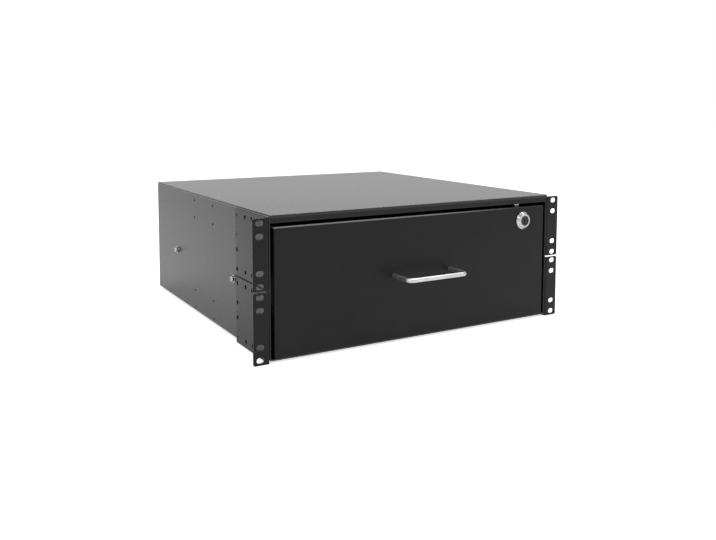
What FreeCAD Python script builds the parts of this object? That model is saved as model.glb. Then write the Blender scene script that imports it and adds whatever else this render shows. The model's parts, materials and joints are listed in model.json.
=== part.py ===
import FreeCAD, Part
import math
import os
import re
import Sketcher

# Lockable 19-inch rack drawer, four rack units high.
# Frame: X to the right, Y to the rear, Z up, millimetres. The origin is the centre of the
# rack hole pattern, in the plane of the ears' rear faces, which seat on the rack rails.

SIZES = [
    # Rack panel and its standard hole pattern
    ("panel_width", 482.6, "over the outer edges of both ears"),
    ("panel_height", 177.0, "over the upper and lower ears"),
    ("panel_clear", 0.8, "panel shorter than its four rack units"),
    ("slot_inset", 8.75, "slot centre from the ear's free edge"),
    ("slot_pair", 12.7, "between the two slots astride a unit boundary"),
    ("slot_length", 10.0, "slot, end to end"),
    ("slot_height", 7.0, "slot, across"),
    # Rack ears: four angles, each two units high
    ("ear_flange", 21.3, "ear's front flange, case side to free edge"),
    ("ear_thick", 2.0, "ear sheet"),
    ("ear_gap", 2.0, "between upper and lower ear"),
    ("ear_leg", 104.0, "ear leg along the case side"),
    ("ear_bend", 3.0, "outer radius of the ear's bend"),
    ("ear_corner", 2.0, "radius of the ear's free corners"),
    ("leg_hole", 6.0, "open holes in the leg"),
    ("leg_first", 27.3, "first hole column from the front face"),
    ("leg_second", 49.0, "second hole column from the front face"),
    ("leg_third", 70.5, "third hole column from the front face"),
    ("leg_fourth", 98.5, "fourth hole column from the front face"),
    ("leg_row_edge", 8.4, "outer hole row from the ear's end"),
    # Case
    ("case_depth", 460.0, "front face to rear face"),
    ("case_rise", 3.0, "top cover above the ears' top edge"),
    ("case_lift", 2.5, "case underside above the ears' bottom edge"),
    ("case_sheet", 1.5, "case, header and rear sheet"),
    ("cover_sheet", 1.2, "top cover sheet"),
    ("case_flange", 13.5, "width of the turned-in flanges"),
    ("case_bend", 2.5, "outer bend radius of the case"),
    ("cover_lip", 3.0, "front lip of the top cover"),
    ("header_height", 9.8, "header face below the cover"),
    ("header_depth", 12.0, "lower flange of the header"),
    ("header_shelf", 24.0, "upper flange of the header"),
    ("header_fit", 0.2, "header end clearance"),
    ("side_hole", 4.5, "small holes in the case side"),
    ("side_second", 194.0, "second ear position from the front face"),
    ("side_third", 272.0, "third ear position from the front face"),
    ("panel_row", 60.0, "rear screws above and below the middle"),
    ("panel_column", 120.0, "lower rear screws from the middle"),
    # Slides
    ("slide_thick", 12.7, "slide, wall to tray"),
    ("slide_height", 45.7, "height of the outer member"),
    ("slide_drop", 6.5, "slide centre below the pattern's centre"),
    ("slide_start", 15.0, "front end of the slide"),
    ("slide_room", 45.0, "slide's rear end from the case's rear face"),
    ("slide_sheet", 1.2, "sheet of all three members"),
    ("slide_lip", 2.6, "turned-in lip of the outer member"),
    ("slide_reach", 9.4, "outer member's depth"),
    ("middle_start", 2.4, "middle member's web from the wall"),
    ("middle_end", 9.6, "middle member's lip from the wall"),
    ("middle_height", 34.4, "height over the middle member's flanges"),
    ("middle_lip", 1.4, "upturned lip of the middle member"),
    ("middle_short", 9.0, "middle member shorter than the outer"),
    ("inner_start", 5.2, "inner member's lip from the wall"),
    ("inner_height", 24.6, "height over the inner member's flanges"),
    ("inner_lip", 1.2, "upturned lip of the inner member"),
    ("inner_short", 17.0, "inner member shorter than the outer"),
    ("slide_screw_front", 97.5, "first slide screw from the slide's front end"),
    ("slide_screw_rear", 62.0, "second slide screw from the slide's rear end"),
    ("ball_outer", 3.8, "balls between outer and middle member"),
    ("ball_inner", 3.1, "balls between middle and inner member"),
    ("ball_outer_place", 5.3, "outer ball row from the wall"),
    ("ball_inner_place", 8.0, "inner ball row from the wall"),
    ("cage_sheet", 0.6, "ball cage strip"),
    ("cage_play", 0.35, "cage web from the member behind it"),
    ("cage_start", 115.0, "cage from the slide's front end"),
    ("cage_length", 160.0, "ball cage"),
    ("ball_count", 6.0, "balls in each row"),
    ("buffer_length", 7.0, "rubber buffer at the slide's rear end"),
    ("buffer_height", 22.0, "buffer height"),
    ("buffer_round", 1.5, "radius of the buffer's edges"),
    # Drawer front
    ("front_side_gap", 4.7, "drawer front to case side"),
    ("front_top_gap", 4.0, "drawer front to header"),
    ("front_floor_gap", 0.5, "drawer front to case floor"),
    ("front_sheet", 1.5, "drawer front sheet"),
    ("front_depth", 14.0, "depth of the folded front"),
    ("front_bend", 2.0, "outer bend radius of the front"),
    ("front_side_flange", 20.0, "inward flange at the sides"),
    ("front_top_flange", 8.0, "inward flange at the top"),
    ("front_low_flange", 12.0, "inward flange at the bottom"),
    # Tray
    ("tray_sheet", 1.2, "tray sheet"),
    ("tray_lift", 4.5, "tray above the case floor"),
    ("tray_down", 14.5, "tray top below the drawer front's top"),
    ("tray_room", 30.0, "tray's rear wall from the case's rear face"),
    ("tray_rim", 8.0, "outward rim of the tray sides"),
    ("tray_bend", 2.0, "outer bend radius of the tray"),
    ("rivet_head", 6.4, "blind rivet head"),
    ("rivet_tall", 1.0, "blind rivet head height"),
    ("rivet_shank", 3.2, "blind rivet shank"),
    # Handle
    ("handle_span", 90.0, "between the handle's two posts"),
    ("handle_reach", 40.0, "handle in front of the drawer front"),
    ("handle_wire", 6.0, "handle wire"),
    ("handle_bend", 7.0, "centre radius of the handle's corners"),
    ("handle_lift", 0.0, "handle above the pattern's centre"),
    # Fasteners
    ("screw_shank", 4.0, "M4 shank"),
    ("screw_room", 0.1, "clearance around a screw in its thread"),
    ("screw_clear", 0.5, "clearance on a screw in a plain hole"),
    ("pan_head", 8.0, "pan head across"),
    ("pan_tall", 2.6, "pan head height"),
    ("slide_head", 7.8, "slide screw head across"),
    ("slide_tall", 5.6, "slide screw head height with its collar"),
    ("slide_collar", 10.4, "collar under the slide screw head, across"),
    ("slide_collar_tall", 1.2, "collar height"),
    ("sunk_head", 7.7, "countersunk head across"),
    ("nut_width", 8.0, "press-in nut across"),
    ("nut_tall", 2.0, "press-in nut height"),
    ("recess_width", 1.1, "arm of a cross recess"),
    ("recess_depth", 1.2, "depth of a countersunk screw's recess"),
    ("driver_room", 4.0, "access hole wider than the screw head"),
    ("handle_screw_depth", 10.0, "handle screw in the post"),
    # Lock
    ("lock_inset", 39.5, "lock axis from the front's right edge"),
    ("lock_down", 19.8, "lock axis from the front's top edge"),
    ("bezel_width", 25.4, "bezel across"),
    ("bezel_face", 18.8, "flat face of the bezel across"),
    ("bezel_tall", 4.6, "bezel in front of the drawer front"),
    ("bezel_round", 0.8, "radius of the bezel's rims"),
    ("barrel_width", 18.6, "threaded barrel across"),
    ("barrel_flat", 16.4, "barrel over its two flats"),
    ("barrel_wall", 2.0, "closed rear wall of the barrel"),
    ("lock_nut_width", 23.0, "lock nut across flats"),
    ("lock_nut_tall", 4.0, "lock nut height"),
    ("lock_room", 1.0, "tray notch around the lock nut"),
    ("plug_width", 14.2, "lock plug across"),
    ("plug_shaft", 8.0, "rear shaft of the plug"),
    ("plug_square", 5.6, "square that drives the cam"),
    ("plug_fit", 0.05, "radial clearance of the plug"),
    ("plug_back", 1.2, "plug face below the bezel face"),
    ("key_width", 1.3, "key slot across"),
    ("key_height", 8.4, "key slot height"),
    ("key_depth", 12.0, "key slot depth"),
    ("cam_reach", 28.0, "cam tip from the lock axis"),
    ("cam_width", 13.0, "cam plate width"),
    ("cam_sheet", 2.0, "cam plate"),
    ("cam_gap", 0.5, "cam behind the tray's front wall"),
    ("cam_screw_tall", 2.0, "cam screw head height"),
    ("cam_screw_depth", 4.5, "cam screw shank"),
    ("cam_bore_depth", 5.0, "screw bore in the plug's square end"),
    ("strike_sheet", 1.5, "strike plate"),
    ("strike_width", 22.0, "strike plate width"),
    ("strike_tab", 8.0, "strike tab width"),
    ("strike_gap", 0.5, "strike tab above the drawer front"),
    ("strike_screw", 3.0, "strike screw shank"),
    ("strike_head", 5.7, "strike screw head across"),
    ("strike_tall", 1.6, "strike screw head height"),
    # Release levers
    ("lever_length", 62.0, "lever from pivot to tip"),
    ("lever_height", 5.0, "lever bar height"),
    ("lever_tab", 7.6, "thumb tab height"),
    ("lever_thick", 3.0, "lever thickness"),
    ("lever_pin", 4.0, "lever pivot pin"),
    ("lever_pin_head", 6.4, "head of the pivot pin"),
    ("lever_pin_tall", 0.8, "height of the pin's head"),
    ("lever_share", 0.48, "pivot along the slide, as a share of its length"),
    ("lever_clear", 10.0, "lever tip to the nearest tray screw"),
    ("lever_gap", 0.4, "lever to the inner member's web"),
]

doc = FreeCAD.newDocument("RackDrawer")
sheet = doc.addObject("Spreadsheet::Sheet", "Sizes")
for row, (name, number, meaning) in enumerate(SIZES, start=1):
    sheet.set("A%d" % row, name)
    sheet.set("B%d" % row, str(number))
    sheet.set("C%d" % row, meaning)
    sheet.setAlias("B%d" % row, name)
doc.recompute()

NAMES = {name for name, number, meaning in SIZES}

# Sizes that follow from the ones in the sheet
DERIVED = {
    "rack_unit": "((panel_height + panel_clear) / 4)",
    "slot_spacing": "(panel_width - 2 * slot_inset)",
    "case_width": "(panel_width - 2 * ear_flange)",
    "case_height": "(panel_height + case_rise - case_lift)",
    "case_drop": "(panel_height / 2 - case_lift)",
    "header_drop": "(cover_sheet + header_height)",
    "front_drop": "(header_drop + front_top_gap)",
    "leg_row_pitch": "(rack_unit * 4 / 7)",
    "slide_length": "(case_depth - slide_start - slide_room)",
    "lever_pivot": "(slide_length * lever_share)",
    "tray_depth": "(case_depth - front_depth - tray_room)",
    "tray_height": "(case_height - front_drop - tray_down - case_sheet - tray_lift)",
}


def linked(text):
    """An expression in which every size name points to its cell."""
    def cell(match):
        word = match.group(0)
        if word in DERIVED:
            return linked(DERIVED[word])
        return "Sizes." + word if word in NAMES else word
    return re.sub(r"[a-z_]+", cell, str(text))


def value(text):
    """The number that an expression has now."""
    return float(sheet.evalExpression(linked(text)))


# Planes and places that several pieces share
FACE = "(0 - ear_thick)"
CASE_HALF = "(case_width / 2)"
WALL = "(case_width / 2 - case_sheet)"
CASE_LOW = "(0 - case_drop)"
CASE_TOP = "(case_height - case_drop)"
COVER_UNDER = "(case_height - case_drop - cover_sheet)"
CASE_FRONT = "(cover_sheet - ear_thick)"
CASE_REAR = "(case_depth - ear_thick)"
HEADER_LOW = "(case_height - case_drop - header_drop)"
FRONT_TOP = "(case_height - case_drop - front_drop)"
FRONT_LOW = "(0 - case_drop + case_sheet + front_floor_gap)"
FRONT_HALF = "(case_width / 2 - case_sheet - front_side_gap)"
FRONT_BACK = "(front_depth - ear_thick)"
FRONT_INSIDE = "(front_sheet - ear_thick)"
TRAY_HALF = "(case_width / 2 - case_sheet - slide_thick)"
TRAY_LOW = "(0 - case_drop + case_sheet + tray_lift)"
TRAY_REAR = "(front_depth - ear_thick + tray_depth)"
SLIDE_MID = "(0 - slide_drop)"
SLIDE_END = "(slide_start + slide_length)"
LOCK_X = "(case_width / 2 - case_sheet - front_side_gap - lock_inset)"
LOCK_Z = "(case_height - case_drop - front_drop - lock_down)"
CAM_FRONT = "(front_depth - ear_thick + tray_sheet + cam_gap)"
EAR_HEIGHT = "((panel_height - ear_gap) / 2)"

COLUMNS = [
    "(leg_first - ear_thick)",
    "(leg_second - ear_thick)",
    "(leg_third - ear_thick)",
    "(leg_fourth - ear_thick)",
]
END_ROWS = [
    "(panel_height / 2 - leg_row_edge)",
    "(panel_height / 2 - leg_row_edge - leg_row_pitch)",
]
MIDDLE_ROWS = [
    "(ear_gap / 2 + leg_row_edge + leg_row_pitch)",
    "(ear_gap / 2 + leg_row_edge)",
]
SLOT_ROWS = [
    "(slot_pair / 2)",
    "(rack_unit / 2)",
    "(rack_unit * 3 / 2)",
    "(rack_unit * 2 - slot_pair / 2)",
]
SCREW_STOPS = ["slide_screw_front", "(slide_length - slide_screw_rear)"]
TRAY_STOPS = [
    "(slide_length / 10)",
    "(lever_pivot - lever_length - lever_clear)",
    "(slide_length * 4 / 5)",
]
SIDES = [("left", -1), ("right", 1)]

parts = []


def times(sign, text):
    """An expression, mirrored when the sign is minus one."""
    return "(%d * %s)" % (sign, text)


# Helpers for bodies, sketches and features
def new_body(label):
    body = doc.addObject("PartDesign::Body", label)
    body.Label = label
    parts.append(body)
    return body


def new_sketch(body, role, place):
    """A sketch on one of the body's own planes, moved along the axis to a place."""
    plane = next(item for item in body.Origin.OriginFeatures if item.Role == role)
    sketch = body.newObject("Sketcher::SketchObject", body.Label + "_sketch")
    sketch.AttachmentSupport = [(plane, "")]
    sketch.MapMode = "FlatFace"
    sign = "-" if role == "XZ_Plane" else ""
    sketch.setExpression("AttachmentOffset.Base.z", linked("%s(%s)" % (sign, place)))
    return sketch


def pin(sketch, geometry, point, x, y):
    """Hold a point of the sketch at two expressions."""
    for kind, text in (("DistanceX", x), ("DistanceY", y)):
        held = Sketcher.Constraint(kind, -1, 1, geometry, point, value(text))
        index = sketch.addConstraint(held)
        sketch.setExpression("Constraints[%d]" % index, linked(text))


def draw_outline(sketch, corners):
    """A closed outline of straight lines through corners given as expressions."""
    points = [FreeCAD.Vector(value(x), value(y), 0) for x, y in corners]
    count = len(points)
    first = sketch.GeometryCount
    for step in range(count):
        line = Part.LineSegment(points[step], points[(step + 1) % count])
        sketch.addGeometry(line, False)
    for step in range(count):
        after = first + (step + 1) % count
        sketch.addConstraint(Sketcher.Constraint("Coincident", first + step, 2, after, 1))
        pin(sketch, first + step, 1, *corners[step])


def rectangle(x_low, x_high, y_low, y_high):
    return [(x_low, y_low), (x_high, y_low), (x_high, y_high), (x_low, y_high)]


def draw_circle(sketch, x, y, width):
    centre = FreeCAD.Vector(value(x), value(y), 0)
    circle = Part.Circle(centre, FreeCAD.Vector(0, 0, 1), value(width) / 2)
    index = sketch.addGeometry(circle, False)
    pin(sketch, index, 3, x, y)
    size = sketch.addConstraint(Sketcher.Constraint("Diameter", index, value(width)))
    sketch.setExpression("Constraints[%d]" % size, linked(width))


def draw_slot(sketch, x, y, length, height, upright=False):
    """A slot with round ends, along the sketch's first axis or upright along its second."""
    half = "((%s - %s) / 2)" % (length, height)
    if upright:
        ends = [(x, "(%s - %s)" % (y, half)), (x, "(%s + %s)" % (y, half))]
        turn = math.pi / 2
    else:
        ends = [("(%s - %s)" % (x, half), y), ("(%s + %s)" % (x, half), y)]
        turn = 0.0
    radius = value(height) / 2
    arcs = []
    for step, (cx, cy) in enumerate(ends):
        centre = FreeCAD.Vector(value(cx), value(cy), 0)
        circle = Part.Circle(centre, FreeCAD.Vector(0, 0, 1), radius)
        begin = turn + (math.pi / 2 if step == 0 else -math.pi / 2)
        arcs.append(sketch.addGeometry(Part.ArcOfCircle(circle, begin, begin + math.pi), False))
    far, near = arcs
    lines = []
    for arc_from, arc_to in ((far, near), (near, far)):
        begin = sketch.getPoint(arc_from, 2)
        finish = sketch.getPoint(arc_to, 1)
        line = sketch.addGeometry(Part.LineSegment(begin, finish), False)
        sketch.addConstraint(Sketcher.Constraint("Tangent", arc_from, 2, line, 1))
        sketch.addConstraint(Sketcher.Constraint("Tangent", line, 2, arc_to, 1))
        lines.append(line)
    for arc, (cx, cy) in zip(arcs, ends):
        pin(sketch, arc, 3, cx, cy)
    size = sketch.addConstraint(Sketcher.Constraint("Diameter", far, value(height)))
    sketch.setExpression("Constraints[%d]" % size, linked(height))


def grow(body, role, place, outlines, length):
    """Pad outlines from a place towards the positive axis."""
    sketch = new_sketch(body, role, place)
    for corners in outlines:
        draw_outline(sketch, corners)
    pad = body.newObject("PartDesign::Pad", body.Label + "_pad")
    pad.Profile = sketch
    pad.setExpression("Length", linked(length))
    pad.Reversed = role == "XZ_Plane"
    doc.recompute()
    return pad


def carve(body, role, place, length, draw):
    """Cut what draw puts in a sketch, from a place towards the positive axis."""
    before = body.Shape.Volume
    sketch = new_sketch(body, role, place)
    draw(sketch)
    pocket = body.newObject("PartDesign::Pocket", body.Label + "_pocket")
    pocket.Profile = sketch
    pocket.setExpression("Length", linked(length))
    pocket.Reversed = role != "XZ_Plane"
    doc.recompute()
    if body.Shape.Volume >= before:
        raise RuntimeError("%s: %s cuts nothing" % (body.Label, pocket.Name))
    return pocket


def near(number, text):
    return abs(number - value(text)) < 0.001


def edge_names(body, axis, x=None, y=None, z=None):
    """Straight edges along an axis whose middle lies at the given expressions."""
    names = []
    for index, edge in enumerate(body.Shape.Edges, start=1):
        if edge.Curve.TypeId != "Part::GeomLine":
            continue
        if abs(abs(edge.tangentAt(edge.FirstParameter)[axis]) - 1) > 0.001:
            continue
        middle = edge.CenterOfMass
        if all(text is None or near(middle[item], text) for item, text in enumerate((x, y, z))):
            names.append("Edge%d" % index)
    return names


def round_off(body, radius, names):
    """Fillet the named edges of the body."""
    if not names:
        raise RuntimeError(body.Label + ": no edge to round")
    before = body.Tip
    fillet = body.newObject("PartDesign::Fillet", body.Label + "_fillet")
    fillet.Base = (before, sorted(set(names)))
    body.Tip = fillet
    fillet.setExpression("Radius", linked(radius))
    doc.recompute()
    if not fillet.isValid():
        raise RuntimeError(body.Label + ": the edges can't be rounded")
    return fillet


def bevel(body, size, names):
    """Chamfer the named edges of the body."""
    if not names:
        raise RuntimeError(body.Label + ": no edge to bevel")
    before = body.Tip
    chamfer = body.newObject("PartDesign::Chamfer", body.Label + "_chamfer")
    chamfer.Base = (before, sorted(set(names)))
    body.Tip = chamfer
    chamfer.setExpression("Size", linked(size))
    doc.recompute()
    if not chamfer.isValid():
        raise RuntimeError(body.Label + ": the edges can't be bevelled")
    return chamfer


def rim_names(body, width, axis, place):
    """Round edges of one diameter whose centre lies at a place on an axis."""
    names = []
    for index, edge in enumerate(body.Shape.Edges, start=1):
        if edge.Curve.TypeId != "Part::GeomCircle":
            continue
        if near(edge.Curve.Radius * 2, width) and near(edge.Curve.Center[axis], place):
            names.append("Edge%d" % index)
    return names


def new_group(label, solids):
    """One node that holds several alike solids."""
    group = doc.addObject("Part::Feature", label)
    group.Label = label
    group.Shape = Part.makeCompound(solids)
    parts.append(group)
    return group


def turned(solid, direction, place):
    """A copy of a solid made along +Z, turned to a direction and moved to a place."""
    rotation = FreeCAD.Rotation(FreeCAD.Vector(0, 0, 1), FreeCAD.Vector(*direction))
    copy = solid.copy()
    copy.Placement = FreeCAD.Placement(FreeCAD.Vector(*place), rotation)
    return copy


def spun(corners):
    """A solid turned about +Z from corners (radius, height); a third value bulges the side."""
    edges = []
    count = len(corners)
    for step in range(count):
        begin = corners[step]
        finish = corners[(step + 1) % count]
        start = FreeCAD.Vector(begin[0], 0, begin[1])
        end = FreeCAD.Vector(finish[0], 0, finish[1])
        if len(begin) > 2:
            middle = FreeCAD.Vector(begin[2], 0, begin[3])
            edges.append(Part.Arc(start, middle, end).toShape())
        else:
            edges.append(Part.LineSegment(start, end).toShape())
    face = Part.Face(Part.Wire(edges))
    return face.revolve(FreeCAD.Vector(0, 0, 0), FreeCAD.Vector(0, 0, 1), 360)


# Shape of a screw head, as shares of its height and radius
HEAD_EDGE = 0.45
HEAD_TOP = 0.62
HEAD_BULGE = (0.88, 0.86)
RECESS_DEPTH = 0.55
RECESS_REACH = 0.5


def cross_cut(solid, top, depth, reach, arm):
    """Cut a cross recess into a head whose top is at a height."""
    for wide, deep in ((reach, arm), (arm, reach)):
        corner = FreeCAD.Vector(-wide / 2, -deep / 2, top - depth)
        solid = solid.cut(Part.makeBox(wide, deep, depth, corner))
    return solid


def pan_screw(head, tall, shank, length, collar=None):
    """Screw along +Z: the head's underside is at zero and the shank points down."""
    radius = head / 2
    under = [(radius, 0)]
    rim = (radius, tall * HEAD_EDGE)
    if collar:
        reach, step = collar
        under = [(reach / 2, 0), (reach / 2, step), (radius, step)]
        rim += (radius * HEAD_BULGE[0], tall * HEAD_BULGE[1])
    solid = spun([
        (0, -length),
        (shank / 2, -length),
        (shank / 2, 0),
        *under,
        rim,
        (radius * HEAD_TOP, tall),
        (0, tall),
    ])
    arm = value("recess_width") * head / value("pan_head")
    return cross_cut(solid, tall, tall * RECESS_DEPTH, head * RECESS_REACH, arm)


def screw_rows(level, column):
    """Rows of a hole column that take ear screws; the lower ears leave one far hole open."""
    return END_ROWS[:1] if level < 0 and column == COLUMNS[3] else END_ROWS


# Rack ears: one angle of sheet, with round-ended rack slots in the flange and hole rows in the leg
def build_ear(label, side, level):
    ear = new_body(label)
    low = "(ear_gap / 2)" if level > 0 else "(0 - panel_height / 2)"
    tip = times(side, "(panel_width / 2)")
    seat = times(side, CASE_HALF)
    back = times(side, "(case_width / 2 + ear_thick)")
    leg_end = "(ear_leg - ear_thick)"
    corners = [(tip, FACE), (seat, FACE), (seat, leg_end), (back, leg_end), (back, "0"), (tip, "0")]
    grow(ear, "XY_Plane", low, [corners], EAR_HEIGHT)
    round_off(ear, "ear_bend", edge_names(ear, 2, seat, FACE))
    round_off(ear, "(ear_bend - ear_thick)", edge_names(ear, 2, back, "0"))
    free = edge_names(ear, 1, tip) + edge_names(ear, 0, None, leg_end)
    round_off(ear, "ear_corner", free)

    def slots(sketch):
        for row in SLOT_ROWS:
            x = times(side, "(slot_spacing / 2)")
            draw_slot(sketch, x, times(level, row), "slot_length", "slot_height")

    carve(ear, "XZ_Plane", FACE, "ear_thick", slots)
    outer_face = "(0 - case_width / 2 - ear_thick)" if side < 0 else CASE_HALF

    def open_holes(sketch):
        for column in COLUMNS:
            draw_circle(sketch, column, times(level, MIDDLE_ROWS[1]), "leg_hole")
        for column in (COLUMNS[0], COLUMNS[3]):
            draw_circle(sketch, column, times(level, MIDDLE_ROWS[0]), "leg_hole")
        for column in COLUMNS[1:3]:
            draw_circle(sketch, column, times(level, END_ROWS[0]), "leg_hole")
        for row in END_ROWS[len(screw_rows(level, COLUMNS[3])):]:
            draw_circle(sketch, COLUMNS[3], times(level, row), "leg_hole")

    def screw_holes(sketch):
        for column in (COLUMNS[0], COLUMNS[3]):
            for row in screw_rows(level, column):
                draw_circle(sketch, column, times(level, row), "screw_shank + screw_clear")

    carve(ear, "YZ_Plane", outer_face, "ear_thick", open_holes)
    carve(ear, "YZ_Plane", outer_face, "ear_thick", screw_holes)
    sunk = "((sunk_head + screw_clear / 2 - screw_shank - screw_clear) / 2)"
    bevel(ear, sunk, rim_names(ear, "screw_shank + screw_clear", 0, back))


for height_name, level in (("upper", 1), ("lower", -1)):
    for side_name, side in SIDES:
        build_ear("ear_%s_%s" % (height_name, side_name), side, level)


def ear_screw_places():
    """Side, depth and height of every screw that holds an ear."""
    places = []
    for side_name, side in SIDES:
        for level in (1, -1):
            for column in (COLUMNS[0], COLUMNS[3]):
                for row in screw_rows(level, column):
                    places.append((side, value(column), level * value(row)))
    return places


def build_ear_screws():
    head = value("sunk_head") / 2
    shank = value("screw_shank") / 2
    length = value("ear_thick + case_sheet + nut_tall")
    screw = spun([(0, -length), (shank, -length), (shank, shank - head), (head, 0), (0, 0)])
    screw = cross_cut(screw, 0, value("recess_depth"), head, value("recess_width"))
    outside = value("case_width / 2 + ear_thick - screw_room")
    solids = []
    for side, y, z in ear_screw_places():
        solids.append(turned(screw, (side, 0, 0), (side * outside, y, z)))
    new_group("ear_screws", solids)


def build_ear_nuts():
    outer = value("nut_width") / 2
    bore = value("screw_shank / 2 + screw_room")
    tall = value("nut_tall")
    nut = Part.makeCylinder(outer, tall).cut(Part.makeCylinder(bore, tall))
    solids = []
    for side, y, z in ear_screw_places():
        solids.append(turned(nut, (-side, 0, 0), (side * value(WALL), y, z)))
    new_group("ear_nuts", solids)


build_ear_screws()
build_ear_nuts()


# Case shell: floor, sides, turned-in top flanges and a rear frame, in one folded sheet
def build_case_shell():
    shell = new_body("case_shell")
    rib = "(case_width / 2 - case_flange)"
    under = "(%s - case_sheet)" % COVER_UNDER
    floor = "(%s + case_sheet)" % CASE_LOW
    right = [
        (CASE_HALF, CASE_LOW),
        (CASE_HALF, COVER_UNDER),
        (rib, COVER_UNDER),
        (rib, under),
        (WALL, under),
        (WALL, floor),
    ]
    left = [(times(-1, x), z) for x, z in reversed(right)]
    rear = "(%s - case_sheet)" % CASE_REAR
    grow(shell, "XZ_Plane", CASE_FRONT, [right + left], "(%s - %s)" % (rear, CASE_FRONT))
    frame_low = "(%s + case_flange)" % CASE_LOW
    half = [(WALL, floor), (WALL, under), (rib, under), (rib, frame_low)]
    mirrored = [(times(-1, x), z) for x, z in reversed(half)]
    grow(shell, "XZ_Plane", "(%s - case_sheet)" % rear, [half + mirrored], "case_sheet")
    outer = []
    for side in (-1, 1):
        for z in (CASE_LOW, COVER_UNDER):
            outer += edge_names(shell, 1, times(side, CASE_HALF), None, z)
    round_off(shell, "case_bend", outer)

    def side_holes(sketch):
        for row in END_ROWS:
            for level in (1, -1):
                z = times(level, row)
                for column in (COLUMNS[0], COLUMNS[3]):
                    draw_circle(sketch, column, z, "screw_shank + screw_clear")
                for column in ("side_second", "side_third"):
                    draw_circle(sketch, "(%s - ear_thick)" % column, z, "side_hole")
        for along in SCREW_STOPS:
            draw_circle(sketch, "(slide_start + %s)" % along, SLIDE_MID, "screw_shank + screw_clear")

    carve(shell, "YZ_Plane", times(-1, CASE_HALF), "case_width", side_holes)

    def rear_holes(sketch):
        for x, z in REAR_SCREWS:
            draw_circle(sketch, x, z, "screw_shank + 2 * screw_room")

    carve(shell, "XZ_Plane", "(%s - case_sheet)" % rear, "case_sheet", rear_holes)


FRAME_MID = "(case_width / 2 - (case_sheet + case_flange) / 2)"
REAR_SCREWS = []
for side in (-1, 1):
    for step in (-1, 0, 1):
        REAR_SCREWS.append((times(side, FRAME_MID), "(%d * panel_row)" % step))
    low_row = "(0 - case_drop + (case_sheet + case_flange) / 2)"
    REAR_SCREWS.append(("(%d * panel_column)" % side, low_row))

build_case_shell()


# Rear panel: flat plate screwed to the rear frame
def build_rear_panel():
    panel = new_body("rear_panel")
    place = "(%s - case_sheet)" % CASE_REAR
    plate = rectangle(times(-1, CASE_HALF), CASE_HALF, CASE_LOW, COVER_UNDER)
    grow(panel, "XZ_Plane", place, [plate], "case_sheet")
    round_off(panel, "case_bend", edge_names(panel, 1))

    def holes(sketch):
        for x, z in REAR_SCREWS:
            draw_circle(sketch, x, z, "screw_shank + screw_clear")

    carve(panel, "XZ_Plane", place, "case_sheet", holes)


def build_rear_screws():
    length = value("case_sheet * 2 + screw_shank")
    screw = pan_screw(value("pan_head"), value("pan_tall"), value("screw_shank"), length)
    solids = []
    for x, z in REAR_SCREWS:
        solids.append(turned(screw, (0, 1, 0), (value(x), value(CASE_REAR), value(z))))
    new_group("rear_screws", solids)


build_rear_panel()
build_rear_screws()


# Top cover: flat sheet with a short lip that hides the front edge of the case
def build_top_cover():
    cover = new_body("top_cover")
    lip_end = "(%s - cover_lip)" % COVER_UNDER
    corners = [
        (FACE, lip_end),
        (FACE, CASE_TOP),
        (CASE_REAR, CASE_TOP),
        (CASE_REAR, COVER_UNDER),
        (CASE_FRONT, COVER_UNDER),
        (CASE_FRONT, lip_end),
    ]
    grow(cover, "YZ_Plane", times(-1, CASE_HALF), [corners], "case_width")
    round_off(cover, "cover_sheet * 0.8", edge_names(cover, 0, None, FACE, CASE_TOP))


build_top_cover()


# Front header: folded rail that closes the case above the drawer front
def build_front_header():
    header = new_body("front_header")
    half = "(%s - header_fit)" % WALL
    under = "(%s - case_sheet)" % COVER_UNDER
    inside = "(%s + case_sheet)" % CASE_FRONT
    flange_end = "(%s + header_depth)" % CASE_FRONT
    flange_top = "(%s + case_sheet)" % HEADER_LOW
    corners = [
        (CASE_FRONT, HEADER_LOW),
        (CASE_FRONT, under),
        (inside, under),
        (inside, flange_top),
        (flange_end, flange_top),
        (flange_end, HEADER_LOW),
    ]
    grow(header, "YZ_Plane", times(-1, half), [corners], "(2 * %s)" % half)
    shelf_half = "(case_width / 2 - case_flange - header_fit)"
    shelf = rectangle(CASE_FRONT, "(%s + header_shelf)" % CASE_FRONT, under, COVER_UNDER)
    grow(header, "YZ_Plane", times(-1, shelf_half), [shelf], "(2 * %s)" % shelf_half)
    round_off(header, "case_sheet", edge_names(header, 0, None, CASE_FRONT, HEADER_LOW))

    def holes(sketch):
        for side in (-1, 1):
            x = "(%s + %d * strike_width / 3)" % (LOCK_X, side)
            draw_circle(sketch, x, STRIKE_SCREW_Y, "strike_screw + 2 * screw_room")

    carve(header, "XY_Plane", HEADER_LOW, "case_sheet", holes)


STRIKE_SCREW_Y = "(%s + (case_sheet + header_depth) / 2)" % CASE_FRONT
build_front_header()


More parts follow.
